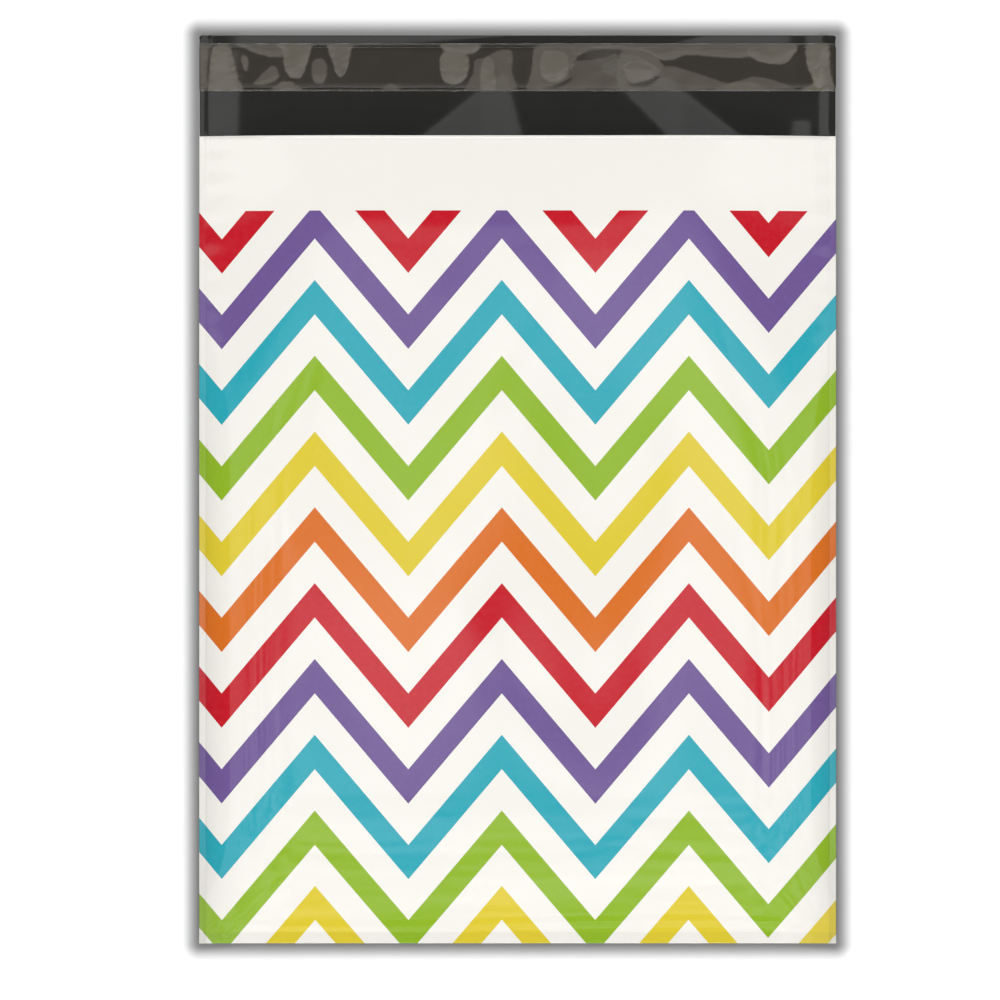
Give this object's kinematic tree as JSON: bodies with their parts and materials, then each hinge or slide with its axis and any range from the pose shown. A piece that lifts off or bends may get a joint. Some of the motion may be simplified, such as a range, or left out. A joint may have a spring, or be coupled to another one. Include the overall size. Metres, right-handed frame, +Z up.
{
  "type": "poly mailer bag",
  "caption": "Flat mailing bag of folded, side-welded plastic film with zigzag print, an open flap, a glue strip and its clear release liner.",
  "frame": {"origin": "on the table, under the middle of the bag's outline with its flap open", "axes": "+X across the bag to its right, +Y along it from the bottom fold to the lip of the flap, +Z up from the back panel to the printed front"},
  "size_m": [0.254, 0.3624, 0.0101],
  "materials": {
    "printed_film": "glossy co-extruded film, white and printed outside, black inside",
    "hot_melt_glue": "tacky pressure-sensitive glue line",
    "clear_liner": "clear siliconised film strip"
  },
  "bodies": {
    "root": {"mailer_film": "printed_film", "adhesive_strip": "hot_melt_glue", "release_liner": "clear_liner"}
  },
  "joints": []
}
